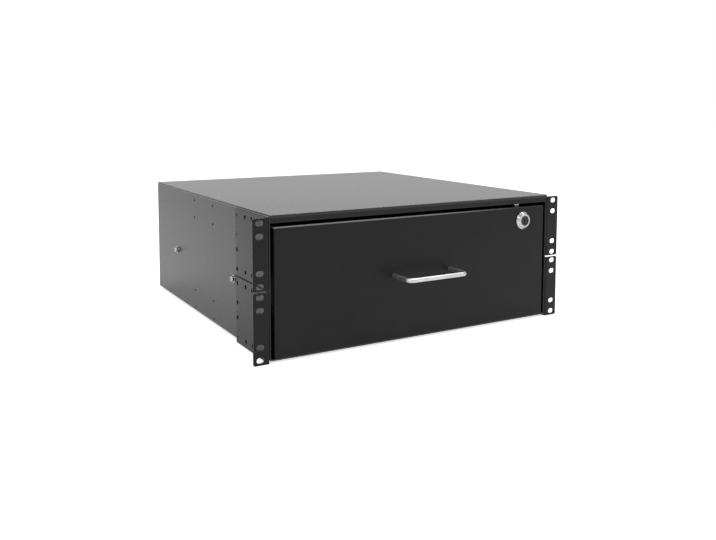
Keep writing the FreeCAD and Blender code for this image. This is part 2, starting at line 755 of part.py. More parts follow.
# Lock strike: plated plate on the header's lower flange, with a tab that hangs into the gap
def build_strike():
    strike = new_body("lock_strike")
    top_of_flange = "(%s + case_sheet)" % HEADER_LOW
    plate_top = "(%s + strike_sheet)" % top_of_flange
    begin = "(%s + case_sheet + header_fit)" % CASE_FRONT
    flange_end = "(%s + header_depth)" % CASE_FRONT
    tab_back = "(%s + strike_sheet)" % flange_end
    half_plate = "(strike_width / 2)"
    plate = rectangle(begin, flange_end, top_of_flange, plate_top)
    grow(strike, "YZ_Plane", "(%s - %s)" % (LOCK_X, half_plate), [plate], "strike_width")
    tab_low = "(%s + strike_gap)" % FRONT_TOP
    tab = rectangle(flange_end, tab_back, tab_low, plate_top)
    grow(strike, "YZ_Plane", "(%s - strike_tab / 2)" % LOCK_X, [tab], "strike_tab")
    round_off(strike, "strike_sheet", edge_names(strike, 0, None, tab_back, plate_top))

    def holes(sketch):
        for side in (-1, 1):
            x = "(%s + %d * strike_width / 3)" % (LOCK_X, side)
            draw_circle(sketch, x, STRIKE_SCREW_Y, "strike_screw + screw_clear")

    carve(strike, "XY_Plane", top_of_flange, "strike_sheet", holes)


def build_strike_screws():
    length = value("strike_sheet + case_sheet")
    screw = pan_screw(value("strike_head"), value("strike_tall"), value("strike_screw"), length)
    head_under = value("%s + case_sheet + strike_sheet" % HEADER_LOW)
    solids = []
    for side in (-1, 1):
        x = value("%s + %d * strike_width / 3" % (LOCK_X, side))
        solids.append(turned(screw, (0, 0, 1), (x, value(STRIKE_SCREW_Y), head_under)))
    new_group("strike_screws", solids)


build_strike()
build_strike_screws()


# Telescopic slides: three nested channels on each side, with two rows of balls between each pair
def slide_x(side, along):
    """X of a place measured from the case wall towards the tray."""
    return times(side, "(%s - %s)" % (WALL, along))


def slide_z(level, half):
    return "(%s + %d * %s)" % (SLIDE_MID, level, half)


def channel(side, upper_half):
    """A channel outline: the upper half from web to lip and back, then its mirror image."""
    upper = [(slide_x(side, p), slide_z(1, h)) for p, h in upper_half]
    lower = [(slide_x(side, p), slide_z(-1, h)) for p, h in reversed(upper_half)]
    return upper + lower


def round_bends(body, side, bends, radius):
    names = []
    for p, h in bends:
        for level in (1, -1):
            names += edge_names(body, 1, slide_x(side, p), None, slide_z(level, h))
    round_off(body, radius, names)


OUTER_HALF = "(slide_height / 2)"
OUTER_INSIDE = "(slide_height / 2 - slide_sheet)"
MIDDLE_HALF = "(middle_height / 2)"
MIDDLE_INSIDE = "(middle_height / 2 - slide_sheet)"
INNER_HALF = "(inner_height / 2)"
INNER_INSIDE = "(inner_height / 2 - slide_sheet)"


def web_cut(body, side, near_place, draw):
    """Cut through a member's web, whose wall-side face lies at a place."""
    inside = "(%s + slide_sheet)" % near_place
    start = slide_x(side, inside) if side > 0 else slide_x(side, near_place)
    carve(body, "YZ_Plane", start, "slide_sheet", draw)


def build_outer(label, side):
    member = new_body(label)
    lip = "(slide_reach - slide_sheet)"
    lip_end = "(slide_height / 2 - slide_lip)"
    upper = [
        ("0", OUTER_HALF),
        ("slide_reach", OUTER_HALF),
        ("slide_reach", lip_end),
        (lip, lip_end),
        (lip, OUTER_INSIDE),
        ("slide_sheet", OUTER_INSIDE),
    ]
    grow(member, "XZ_Plane", "slide_start", [channel(side, upper)], "slide_length")
    bends = [("0", OUTER_HALF), ("slide_reach", OUTER_HALF)]
    round_bends(member, side, bends, "(slide_sheet * 2)")
    inner_bends = [("slide_sheet", OUTER_INSIDE), (lip, OUTER_INSIDE)]
    round_bends(member, side, inner_bends, "slide_sheet")

    def holes(sketch):
        for stop in SCREW_STOPS:
            y = "(slide_start + %s)" % stop
            draw_circle(sketch, y, SLIDE_MID, "screw_shank + 2 * screw_room")
        for share in (0.08, 0.4, 0.7):
            y = "(slide_start + slide_length * %s)" % share
            draw_slot(sketch, y, SLIDE_MID, "(screw_shank * 2)", "side_hole")

    web_cut(member, side, "0", holes)


def build_middle(label, side):
    member = new_body(label)
    lip = "(middle_end - slide_sheet)"
    lip_top = "(middle_height / 2 + middle_lip)"
    web_back = "(middle_start + slide_sheet)"
    upper = [
        ("middle_start", MIDDLE_HALF),
        (lip, MIDDLE_HALF),
        (lip, lip_top),
        ("middle_end", lip_top),
        ("middle_end", MIDDLE_INSIDE),
        (web_back, MIDDLE_INSIDE),
    ]
    length = "(slide_length - middle_short)"
    grow(member, "XZ_Plane", "slide_start", [channel(side, upper)], length)
    round_bends(member, side, [("middle_start", MIDDLE_HALF)], "(slide_sheet * 2)")
    round_bends(member, side, [(web_back, MIDDLE_INSIDE)], "slide_sheet")
    round_bends(member, side, [(lip, MIDDLE_HALF)], "(middle_lip / 2)")

    def holes(sketch):
        for share in (0.12, 0.37, 0.62, 0.87):
            y = "(slide_start + slide_length * %s)" % share
            draw_slot(sketch, y, SLIDE_MID, "(slide_length * 0.07)", "(slide_height * 0.22)")

    web_cut(member, side, "middle_start", holes)


def build_inner(label, side):
    member = new_body(label)
    lip = "(inner_start + slide_sheet)"
    lip_top = "(inner_height / 2 + inner_lip)"
    web = "(slide_thick - slide_sheet)"
    upper = [
        ("slide_thick", INNER_HALF),
        (lip, INNER_HALF),
        (lip, lip_top),
        ("inner_start", lip_top),
        ("inner_start", INNER_INSIDE),
        (web, INNER_INSIDE),
    ]
    length = "(slide_length - inner_short)"
    grow(member, "XZ_Plane", "slide_start", [channel(side, upper)], length)
    round_bends(member, side, [("slide_thick", INNER_HALF)], "(slide_sheet * 2)")
    round_bends(member, side, [(web, INNER_INSIDE)], "slide_sheet")
    round_bends(member, side, [(lip, INNER_HALF)], "(inner_lip / 2)")

    def holes(sketch):
        for stop in TRAY_STOPS:
            y = "(slide_start + %s)" % stop
            draw_circle(sketch, y, SLIDE_MID, "screw_shank + 2 * screw_room")
        y = "(slide_start + lever_pivot)"
        draw_circle(sketch, y, SLIDE_MID, "lever_pin")
        y = "(slide_start + slide_length * 0.6)"
        draw_slot(sketch, y, SLIDE_MID, "(screw_shank * 3)", "side_hole")

    web_cut(member, side, web, holes)


CAGE_OUTER_WEB = "(slide_sheet + cage_play)"
CAGE_INNER_WEB = "(middle_start + slide_sheet + cage_play)"
ROW_OUTER = "((slide_height / 2 - slide_sheet + middle_height / 2) / 2)"
ROW_INNER = "((middle_height / 2 - slide_sheet + inner_height / 2) / 2)"
CAGES = {
    "outer": (CAGE_OUTER_WEB, ROW_OUTER, "ball_outer", "ball_outer_place"),
    "inner": (CAGE_INNER_WEB, ROW_INNER, "ball_inner", "ball_inner_place"),
}


def ball_stops():
    """Depths of the balls of one row."""
    count = int(round(value("ball_count")))
    pitch = value("cage_length") / count
    first = value("slide_start + cage_start") + pitch / 2
    return [first + pitch * step for step in range(count)]


def build_cage(label, side, kind):
    """A stamped channel whose two flanges hold a row of balls each."""
    web, row, ball, place = CAGES[kind]
    cage = new_body(label)
    top = "(%s + cage_sheet / 2)" % row
    low = "(%s - cage_sheet / 2)" % row
    web_back = "(%s + cage_sheet)" % web
    end = "(%s + %s / 2 + cage_sheet * 1.6)" % (place, ball)
    upper = [(web, top), (end, top), (end, low), (web_back, low)]
    start = "(slide_start + cage_start)"
    grow(cage, "XZ_Plane", start, [channel(side, upper)], "cage_length")

    def holes(sketch):
        count = int(round(value("ball_count")))
        for step in range(count):
            y = "(%s + cage_length * %s / ball_count)" % (start, step + 0.5)
            draw_circle(sketch, slide_x(side, place), y, "%s + 0.5" % ball)

    carve(cage, "XY_Plane", slide_z(-1, top), "(2 * %s)" % top, holes)


def build_balls(label, side, kind):
    web, row, ball, place = CAGES[kind]
    solids = []
    x = value(slide_x(side, place))
    for level in (1, -1):
        z = value(slide_z(level, row))
        for y in ball_stops():
            solids.append(Part.makeSphere(value(ball) / 2, FreeCAD.Vector(x, y, z)))
    new_group(label, solids)


def build_lever(label, side):
    """Release lever: a thin plastic bar with a thumb tab, on a pin of the inner member."""
    lever = new_body(label)
    web = "(slide_thick - slide_sheet - lever_gap)"
    start = slide_x(side, web) if side > 0 else slide_x(side, "(%s - lever_thick)" % web)
    pivot = "(slide_start + lever_pivot)"
    tip = "(%s - lever_length)" % pivot
    neck = "(%s - lever_length * 0.7)" % pivot
    slope = "(%s - lever_length * 0.6)" % pivot
    end = "(%s + lever_height)" % pivot
    bar = "(lever_height / 2)"
    tab = "(lever_tab / 2)"
    upper = [(tip, tab), (neck, tab), (slope, bar), (end, bar)]
    corners = [(y, slide_z(1, h)) for y, h in upper]
    corners += [(y, slide_z(-1, h)) for y, h in reversed(upper)]
    grow(lever, "YZ_Plane", start, [corners], "lever_thick")
    ends = edge_names(lever, 0, None, tip) + edge_names(lever, 0, None, end)
    round_off(lever, "(lever_height * 0.4)", ends)

    def bore(sketch):
        draw_circle(sketch, pivot, SLIDE_MID, "lever_pin + 2 * plug_fit")

    carve(lever, "YZ_Plane", start, "lever_thick", bore)


def build_lever_pins():
    """Riveted pins with a small head that keeps the lever on."""
    radius = value("lever_pin") / 2
    long = value("slide_sheet + lever_gap + lever_thick + plug_fit * 2")
    head = value("lever_pin_head") / 2
    top = long + value("lever_pin_tall")
    pivot = spun([(0, 0), (radius, 0), (radius, long), (head, long), (head * HEAD_TOP, top), (0, top)])
    y = value("slide_start + lever_pivot")
    solids = []
    for side_name, side in SIDES:
        place = (value(slide_x(side, "slide_thick")), y, value(SLIDE_MID))
        solids.append(turned(pivot, (side, 0, 0), place))
    new_group("lever_pins", solids)


def build_buffers():
    """Rubber blocks that stop the middle and inner members at the rear."""
    solids = []
    long = value("buffer_length")
    tall = value("buffer_height")
    deep = value("slide_reach - slide_sheet")
    begin = value(SLIDE_END + " - buffer_length")
    for side_name, side in SIDES:
        inner_face = value("%s - slide_reach" % WALL)
        x_low = inner_face if side > 0 else -inner_face - deep
        corner = FreeCAD.Vector(x_low, begin, value(SLIDE_MID) - tall / 2)
        block = Part.makeBox(deep, long, tall, corner)
        depth_edges = [edge for edge in block.Edges if near(edge.Length, "buffer_length")]
        solids.append(block.makeFillet(value("buffer_round"), depth_edges))
    new_group("slide_buffers", solids)


for side_name, side in SIDES:
    build_outer("slide_outer_" + side_name, side)
    build_middle("slide_middle_" + side_name, side)
    build_inner("slide_inner_" + side_name, side)
    for kind in CAGES:
        build_cage("cage_%s_%s" % (kind, side_name), side, kind)
        build_balls("balls_%s_%s" % (kind, side_name), side, kind)
    build_lever("release_lever_" + side_name, side)
build_lever_pins()
build_buffers()


def build_slide_screws():
    """Plated screws with a collar and a tall rounded head, threaded into the outer members."""
    length = value("case_sheet + slide_sheet")
    shank = value("screw_shank")
    collar = (value("slide_collar"), value("slide_collar_tall"))
    screw = pan_screw(value("slide_head"), value("slide_tall"), shank, length, collar)
    solids = []
    for side_name, side in SIDES:
        for stop in SCREW_STOPS:
            place = (side * value(CASE_HALF), value("slide_start + " + stop), value(SLIDE_MID))
            solids.append(turned(screw, (side, 0, 0), place))
    new_group("slide_screws", solids)


def build_tray_screws():
    """Screws from inside the inner members into the tray sides."""
    length = value("slide_sheet + tray_sheet")
    screw = pan_screw(value("pan_head"), value("pan_tall") * 0.8, value("screw_shank"), length)
    solids = []
    for side_name, side in SIDES:
        x = value(slide_x(side, "(slide_thick - slide_sheet)"))
        for stop in TRAY_STOPS:
            place = (x, value("slide_start + " + stop), value(SLIDE_MID))
            solids.append(turned(screw, (side, 0, 0), place))
    new_group("tray_screws", solids)


build_slide_screws()
build_tray_screws()


# Drawer tray: folded box with outward rims above the slides
def build_tray():
    tray = new_body("drawer_tray")
    inside = "(%s - tray_sheet)" % TRAY_HALF
    floor = "(%s + tray_sheet)" % TRAY_LOW
    top = "(%s + tray_height)" % TRAY_LOW
    rim = "(%s + tray_rim)" % TRAY_HALF
    rim_under = "(%s - tray_sheet)" % top
    right = [
        (TRAY_HALF, TRAY_LOW),
        (TRAY_HALF, rim_under),
        (rim, rim_under),
        (rim, top),
        (inside, top),
        (inside, floor),
    ]
    left = [(times(-1, x), z) for x, z in reversed(right)]
    grow(tray, "XZ_Plane", FRONT_BACK, [right + left], "tray_depth")
    wall = rectangle(times(-1, inside), inside, floor, top)
    grow(tray, "XZ_Plane", FRONT_BACK, [wall], "tray_sheet")
    grow(tray, "XZ_Plane", "(%s - tray_sheet)" % TRAY_REAR, [wall], "tray_sheet")
    outer = edge_names(tray, 1, TRAY_HALF, None, TRAY_LOW)
    outer += edge_names(tray, 1, times(-1, TRAY_HALF), None, TRAY_LOW)
    round_off(tray, "tray_bend", outer)

    def front_cuts(sketch):
        half = "(lock_nut_width / 2 + lock_room)"
        low = "(%s - %s)" % (LOCK_Z, half)
        sides = ("(%s - %s)" % (LOCK_X, half), "(%s + %s)" % (LOCK_X, half))
        draw_outline(sketch, rectangle(sides[0], sides[1], low, "(%s + lock_room)" % top))
        for side in (-1, 1):
            x = "(%d * handle_span / 2)" % side
            draw_circle(sketch, x, "handle_lift", "pan_head + driver_room")

    carve(tray, "XZ_Plane", FRONT_BACK, "tray_sheet", front_cuts)

    def screw_holes(sketch):
        for stop in TRAY_STOPS:
            y = "(slide_start + %s)" % stop
            draw_circle(sketch, y, SLIDE_MID, "screw_shank + 2 * screw_room")

    carve(tray, "YZ_Plane", times(-1, TRAY_HALF), "(2 * %s)" % TRAY_HALF, screw_holes)

    def rivet_holes(sketch):
        for x, z in RIVETS:
            draw_circle(sketch, x, z, "rivet_shank + 2 * screw_room")

    carve(tray, "XZ_Plane", FRONT_BACK, "tray_sheet", rivet_holes)


RIVET_X = "((%s - tray_sheet + %s - front_side_flange) / 2)" % (TRAY_HALF, FRONT_HALF)
RIVETS = []
for side in (-1, 1):
    for step in (-1, 0, 1):
        RIVETS.append((times(side, RIVET_X), "(%d * tray_height / 3 - tray_lift)" % step))

build_tray()


# Drawer front: a folded pan with inward flanges at its open back
def build_front():
    front = new_body("drawer_front")
    block = rectangle(times(-1, FRONT_HALF), FRONT_HALF, FRONT_LOW, FRONT_TOP)
    grow(front, "XZ_Plane", FACE, [block], "front_depth")
    round_off(front, "(front_bend * 1.25)", edge_names(front, 1))
    face_edges = edge_names(front, 0, None, FACE) + edge_names(front, 2, None, FACE)
    round_off(front, "front_bend", face_edges)
    half = "(%s - front_sheet)" % FRONT_HALF
    low = "(%s + front_sheet)" % FRONT_LOW
    top = "(%s - front_sheet)" % FRONT_TOP
    hollow = "(front_depth - 2 * front_sheet)"
    cavity = rectangle(times(-1, half), half, low, top)
    carve(front, "XZ_Plane", FRONT_INSIDE, hollow, lambda sketch: draw_outline(sketch, cavity))
    mouth_half = "(%s - front_side_flange)" % FRONT_HALF
    mouth = rectangle(
        times(-1, mouth_half),
        mouth_half,
        "(%s + front_low_flange)" % FRONT_LOW,
        "(%s - front_top_flange)" % FRONT_TOP,
    )
    back = "(%s - front_sheet)" % FRONT_BACK
    carve(front, "XZ_Plane", back, "front_sheet", lambda sketch: draw_outline(sketch, mouth))

    def lock_hole(sketch):
        draw_circle(sketch, LOCK_X, LOCK_Z, "barrel_width + 2 * screw_room")
        for side in (-1, 1):
            x = "(%d * handle_span / 2)" % side
            draw_circle(sketch, x, "handle_lift", "screw_shank + screw_clear")

    carve(front, "XZ_Plane", FACE, "front_sheet", lock_hole)

    def rivet_holes(sketch):
        for x, z in RIVETS:
            draw_circle(sketch, x, z, "rivet_shank + 2 * screw_room")

    carve(front, "XZ_Plane", back, "front_sheet", rivet_holes)


def build_rivets():
    head = value("rivet_head") / 2
    tall = value("rivet_tall")
    shank = value("rivet_shank") / 2
    reach = value("front_sheet + tray_sheet")
    rivet = spun([
        (0, -reach - tall),
        (shank * 1.4, -reach - tall),
        (shank * 1.4, -reach),
        (shank, -reach),
        (shank, 0),
        (head, 0),
        (head * 0.6, tall),
        (0, tall),
    ])
    y = value("%s + tray_sheet" % FRONT_BACK)
    solids = [turned(rivet, (0, 1, 0), (value(x), y, value(z))) for x, z in RIVETS]
    new_group("front_rivets", solids)


build_front()
build_rivets()


# Handle: one bent wire with threaded ends, held by two screws from inside
def build_handle():
    handle = new_body("handle")
    post = "(handle_span / 2)"
    front = "(%s - handle_reach + handle_wire / 2)" % FACE
    spine = new_sketch(handle, "XY_Plane", "handle_lift")
    half = value(post)
    bend = value("handle_bend")
    root = value(FACE)
    far = value(front)
    vector = FreeCAD.Vector
    pieces = [
        Part.LineSegment(vector(-half, root, 0), vector(-half, far + bend, 0)),
        Part.LineSegment(vector(-half + bend, far, 0), vector(half - bend, far, 0)),
        Part.LineSegment(vector(half, far + bend, 0), vector(half, root, 0)),
    ]
    legs = [spine.addGeometry(piece, False) for piece in pieces]
    corners = []
    for sign in (-1, 1):
        centre = vector(sign * (half - bend), far + bend, 0)
        circle = Part.Circle(centre, vector(0, 0, 1), bend)
        begin = math.pi if sign < 0 else 3 * math.pi / 2
        arc = Part.ArcOfCircle(circle, begin, begin + math.pi / 2)
        corners.append(spine.addGeometry(arc, False))
    joins = [(legs[0], 2, corners[0], 1), (corners[0], 2, legs[1], 1)]
    joins += [(legs[1], 2, corners[1], 1), (corners[1], 2, legs[2], 1)]
    for join in joins:
        spine.addConstraint(Sketcher.Constraint("Tangent", *join))
    pin(spine, legs[0], 1, times(-1, post), FACE)
    pin(spine, legs[2], 2, post, FACE)
    for sign, corner in zip((-1, 1), corners):
        x = times(sign, "(handle_span / 2 - handle_bend)")
        pin(spine, corner, 3, x, "(%s + handle_bend)" % front)
    ring = new_sketch(handle, "XZ_Plane", FACE)
    draw_circle(ring, times(-1, post), "handle_lift", "handle_wire")
    pipe = handle.newObject("PartDesign::AdditivePipe", "handle_pipe")
    pipe.Profile = ring
    pipe.Spine = spine
    doc.recompute()

    def bores(sketch):
        for side in (-1, 1):
            x = "(%d * handle_span / 2)" % side
            draw_circle(sketch, x, "handle_lift", "screw_shank + 2 * screw_room")

    depth = "(handle_screw_depth + screw_clear)"
    carve(handle, "XZ_Plane", "(%s - %s)" % (FACE, depth), depth, bores)


def build_handle_screws():
    length = value("front_sheet + handle_screw_depth")
    screw = pan_screw(value("pan_head"), value("pan_tall"), value("screw_shank"), length)
    solids = []
    for side in (-1, 1):
        place = (side * value("handle_span / 2"), value(FRONT_INSIDE), value("handle_lift"))
        solids.append(turned(screw, (0, 1, 0), place))
    new_group("handle_screws", solids)


build_handle()
build_handle_screws()


# Lock: every piece is drawn about its own axis and then set on the lock axis
def on_lock_axis(piece):
    piece.setExpression("Placement.Base.x", linked(LOCK_X))
    piece.setExpression("Placement.Base.z", linked(LOCK_Z))


def revolve(body, corners):
    """Turn corners (y, radius) about the body's Y axis."""
    sketch = new_sketch(body, "YZ_Plane", "0")
    draw_outline(sketch, corners)
    turn = body.newObject("PartDesign::Revolution", body.Label + "_turn")
    turn.Profile = sketch
    turn.ReferenceAxis = (sketch, ["H_Axis"])
    turn.Angle = 360
    doc.recompute()
    return turn


def build_lock_body():
    barrel = new_body("lock_body")
    on_lock_axis(barrel)
    bezel_front = "(%s - bezel_tall)" % FACE
    bore = "(plug_width / 2 + plug_fit)"
    throat = "(plug_shaft / 2 + plug_fit)"
    barrel_end = "(%s - cam_gap)" % CAM_FRONT
    bore_end = "(%s - barrel_wall)" % barrel_end
    revolve(barrel, [
        (bezel_front, bore),
        (bezel_front, "(bezel_face / 2)"),
        ("(%s - bezel_tall * 0.3)" % FACE, "(bezel_width / 2)"),
        (FACE, "(bezel_width / 2)"),
        (FACE, "(barrel_width / 2)"),
        (barrel_end, "(barrel_width / 2)"),
        (barrel_end, throat),
        (bore_end, throat),
        (bore_end, bore),
    ])
    rims = rim_names(barrel, "bezel_face", 1, bezel_front)
    rims += rim_names(barrel, "bezel_width", 1, "(%s - bezel_tall * 0.3)" % FACE)
    round_off(barrel, "bezel_round", rims)

    def flats(sketch):
        for side in (-1, 1):
            near_x = "(%d * barrel_flat / 2)" % side
            far_x = "(%d * barrel_width)" % side
            tall = "barrel_width"
            draw_outline(sketch, rectangle(near_x, far_x, "(0 - %s)" % tall, tall))

    carve(barrel, "XZ_Plane", FACE, "(%s - %s)" % (barrel_end, FACE), flats)


def build_lock_nut():
    nut = new_body("lock_nut")
    on_lock_axis(nut)
    corners = []
    for step in range(6):
        angle = 60 * step + 30
        reach = "(lock_nut_width / 2 / cos(30 deg))"
        corners.append(("(%s * cos(%d deg))" % (reach, angle), "(%s * sin(%d deg))" % (reach, angle)))
    grow(nut, "XZ_Plane", FRONT_INSIDE, [corners], "lock_nut_tall")

    def bore(sketch):
        draw_circle(sketch, "0", "0", "barrel_width + 2 * screw_room")

    carve(nut, "XZ_Plane", FRONT_INSIDE, "lock_nut_tall", bore)


def build_lock_plug():
    plug = new_body("lock_plug")
    on_lock_axis(plug)
    front = "(%s - bezel_tall + plug_back)" % FACE
    shaft_start = "(%s - cam_gap - barrel_wall - plug_fit)" % CAM_FRONT
    revolve(plug, [
        (front, "0"),
        (front, "(plug_width / 2)"),
        (shaft_start, "(plug_width / 2)"),
        (shaft_start, "(plug_shaft / 2)"),
        (CAM_FRONT, "(plug_shaft / 2)"),
        (CAM_FRONT, "0"),
    ])
    half = "(plug_square / 2)"
    square = rectangle("(0 - %s)" % half, half, "(0 - %s)" % half, half)
    grow(plug, "XZ_Plane", CAM_FRONT, [square], "cam_sheet")

    def key_way(sketch):
        draw_slot(sketch, "0", "0", "key_height", "key_width", upright=True)

    carve(plug, "XZ_Plane", front, "key_depth", key_way)

    def thread(sketch):
        draw_circle(sketch, "0", "0", "strike_screw + 2 * screw_room")

    place = "(%s + cam_sheet - cam_bore_depth)" % CAM_FRONT
    carve(plug, "XZ_Plane", place, "cam_bore_depth", thread)


def build_lock_cam():
    """Cam plate that points sideways when the lock is open and up when it is locked."""
    cam = new_body("lock_cam")
    on_lock_axis(cam)
    sketch = new_sketch(cam, "XZ_Plane", CAM_FRONT)
    length = "(cam_reach + cam_width / 2)"
    draw_slot(sketch, "(0 - cam_reach / 2 + cam_width / 4)", "0", length, "cam_width")
    pad = cam.newObject("PartDesign::Pad", "lock_cam_pad")
    pad.Profile = sketch
    pad.setExpression("Length", linked("cam_sheet"))
    pad.Reversed = True
    doc.recompute()

    def square(sketch):
        half = "(plug_square / 2 + plug_fit)"
        draw_outline(sketch, rectangle("(0 - %s)" % half, half, "(0 - %s)" % half, half))

    carve(cam, "XZ_Plane", CAM_FRONT, "cam_sheet", square)


def build_cam_screw():
    tall = value("cam_screw_tall")
    depth = value("cam_screw_depth")
    screw = pan_screw(value("plug_shaft"), tall, value("strike_screw"), depth)
    place = (value(LOCK_X), value("%s + cam_sheet" % CAM_FRONT), value(LOCK_Z))
    new_group("cam_screw", [turned(screw, (0, 1, 0), place)])


build_lock_body()
build_lock_nut()
build_lock_plug()
build_lock_cam()
build_cam_screw()


# Check every object before anything is written
doc.recompute()
for item in doc.Objects:
    if "Invalid" in item.State or "Error" in item.State:
        raise RuntimeError("%s failed: %s" % (item.Label, item.State))
for part in parts:
    shape = part.Shape
    if shape.isNull() or not shape.isValid() or not shape.Solids:
        raise RuntimeError(part.Label + " has no valid shape")

os.makedirs("parts", exist_ok=True)
for part in parts:
    part.Shape.exportStep("parts/%s.step" % part.Label)
print("%d parts written" % len(parts))
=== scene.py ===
"""Looks of a lockable 19-inch rack drawer: materials, light, floor and camera around the CAD frame."""

import json
import math

import bpy
from mathutils import Euler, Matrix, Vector


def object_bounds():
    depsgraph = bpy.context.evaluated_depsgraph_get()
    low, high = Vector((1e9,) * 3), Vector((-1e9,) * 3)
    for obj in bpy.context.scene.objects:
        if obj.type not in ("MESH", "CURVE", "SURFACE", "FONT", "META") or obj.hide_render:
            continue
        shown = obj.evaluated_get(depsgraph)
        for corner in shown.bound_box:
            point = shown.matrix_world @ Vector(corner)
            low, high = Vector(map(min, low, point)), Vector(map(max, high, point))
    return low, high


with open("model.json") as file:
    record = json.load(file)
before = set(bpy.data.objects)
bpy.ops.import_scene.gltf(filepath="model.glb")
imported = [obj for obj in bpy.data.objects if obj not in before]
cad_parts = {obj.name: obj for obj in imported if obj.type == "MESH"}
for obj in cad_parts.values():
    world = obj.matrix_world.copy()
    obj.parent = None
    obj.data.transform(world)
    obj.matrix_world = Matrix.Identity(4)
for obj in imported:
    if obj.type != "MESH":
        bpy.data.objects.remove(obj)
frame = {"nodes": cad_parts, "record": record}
cad_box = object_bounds()
nodes = frame["nodes"]


# Helpers for every node tree
def mapped(tree, value, span=(0.0, 1.0), ends=(0.0, 1.0)):
    """A value whose span is stretched to run between two ends."""
    made = tree.nodes.new("ShaderNodeMapRange")
    for name, number in zip(("From Min", "From Max", "To Min", "To Max"), (*span, *ends)):
        made.inputs[name].default_value = number
    tree.links.new(value, made.inputs["Value"])
    return made.outputs["Result"]


def combined(tree, operation, first, second):
    """Two values added or multiplied, and kept between zero and one."""
    made = tree.nodes.new("ShaderNodeMath")
    made.operation = operation
    made.use_clamp = True
    tree.links.new(first, made.inputs[0])
    tree.links.new(second, made.inputs[1])
    return made.outputs[0]


def grey(level):
    """A neutral colour."""
    return (level, level, level)


def tinted(color, gain, lift):
    """A colour made lighter or darker."""
    return tuple(min(1.0, part * gain + lift) for part in color)


# Edges of painted sheet: rounding radius (m), its samples, and where the painted highlight on upward
# bends comes in and goes out, as the upward part of the normal
EDGE_RADIUS = 0.0011
EDGE_SAMPLES = 6
HIGHLIGHT_COMES_IN = (0.1, 0.35)
HIGHLIGHT_GOES_OUT = (0.9, 0.99)


class Surface:
    """A Principled material whose sockets are set or linked by name."""

    def __init__(self, name, color, metallic=0.0, roughness=0.5):
        self.material = bpy.data.materials.new(name)
        self.material.use_nodes = True
        self.tree = self.material.node_tree
        self.shader = self.tree.nodes["Principled BSDF"]
        self.shader.inputs["Base Color"].default_value = (*color, 1.0)
        self.shader.inputs["Metallic"].default_value = metallic
        self.shader.inputs["Roughness"].default_value = roughness
        self.place = self.node("ShaderNodeTexCoord").outputs["Object"]

    def node(self, kind, **settings):
        """A new node with its settings."""
        made = self.tree.nodes.new(kind)
        for key, setting in settings.items():
            setattr(made, key, setting)
        return made

    def link(self, source, target):
        """A link from an output to an input."""
        self.tree.links.new(source, target)

    def part_of(self, vector, axis):
        """One component of a vector."""
        parts = self.node("ShaderNodeSeparateXYZ")
        self.link(vector, parts.inputs[0])
        return parts.outputs[axis]

    def noise(self, scale, detail, roughness=0.5, stretch=(1.0, 1.0, 1.0)):
        """Noise over the object's own coordinates, stretched along the axes."""
        mapping = self.node("ShaderNodeMapping")
        mapping.inputs["Scale"].default_value = stretch
        self.link(self.place, mapping.inputs["Vector"])
        made = self.node("ShaderNodeTexNoise")
        made.inputs["Scale"].default_value = scale
        made.inputs["Detail"].default_value = detail
        made.inputs["Roughness"].default_value = roughness
        self.link(mapping.outputs["Vector"], made.inputs["Vector"])
        return made.outputs["Fac"]

    def mix(self, share, first, second):
        """A colour between two; each is a colour or a socket."""
        made = self.node("ShaderNodeMix", data_type="RGBA")
        self.link(share, made.inputs["Factor"])
        for name, color in (("A", first), ("B", second)):
            socket = [item for item in made.inputs if item.name == name and item.type == "RGBA"][0]
            if isinstance(color, tuple):
                socket.default_value = (*color, 1.0)
            else:
                self.link(color, socket)
        return [item for item in made.outputs if item.type == "RGBA"][0]

    def bump(self, height, distance, normal=None):
        """A normal with a relief of the given depth, over the plain normal or another one."""
        made = self.node("ShaderNodeBump")
        made.inputs["Distance"].default_value = distance
        self.link(height, made.inputs["Height"])
        if normal is not None:
            self.link(normal, made.inputs["Normal"])
        return made.outputs["Normal"]

    def softened(self):
        """Normals rounded over the sheet's edges, and a mask of the bends that look upward, where the
        coat gets a painted highlight.
        """
        edge = self.node("ShaderNodeBevel", samples=EDGE_SAMPLES)
        edge.inputs["Radius"].default_value = EDGE_RADIUS
        upward = self.part_of(edge.outputs["Normal"], "Z")
        off_upright = mapped(self.tree, upward, HIGHLIGHT_COMES_IN)
        off_level = mapped(self.tree, upward, HIGHLIGHT_GOES_OUT, (1.0, 0.0))
        return edge.outputs["Normal"], combined(self.tree, "MULTIPLY", off_upright, off_level)

    def finish(self, **sockets):
        """The material, once its shader's sockets are linked by name."""
        for name, socket in sockets.items():
            self.link(socket, self.shader.inputs[name.replace("_", " ")])
        return self.material


# Grain of all materials: spans of noise that turn into tone or gloss
CLOUD_SPAN = (0.35, 0.65)
FLECK_SPAN = (0.6, 0.8)
GRIT_SPAN = (0.4, 0.7)
GLOSS_SPAN = (0.3, 0.7)

# Powder coat: noise scales (per m), relief (m), its pale specks, and how far the roughness strays
COAT_IOR = 1.5
COAT_CLOUDS = 14.0
COAT_PEBBLES = 1300.0
COAT_FLECKS = 520.0
COAT_RELIEF = 0.00001
SPECK_TINT = (2.4, 0.004)
SPECK_SHARE = 0.6
SMOOTHER = 0.03
ROUGHER = 0.04
# Lighter tone on upward-facing bends: a painted highlight
PAINTED_EDGE_HIGHLIGHT = grey(0.2)


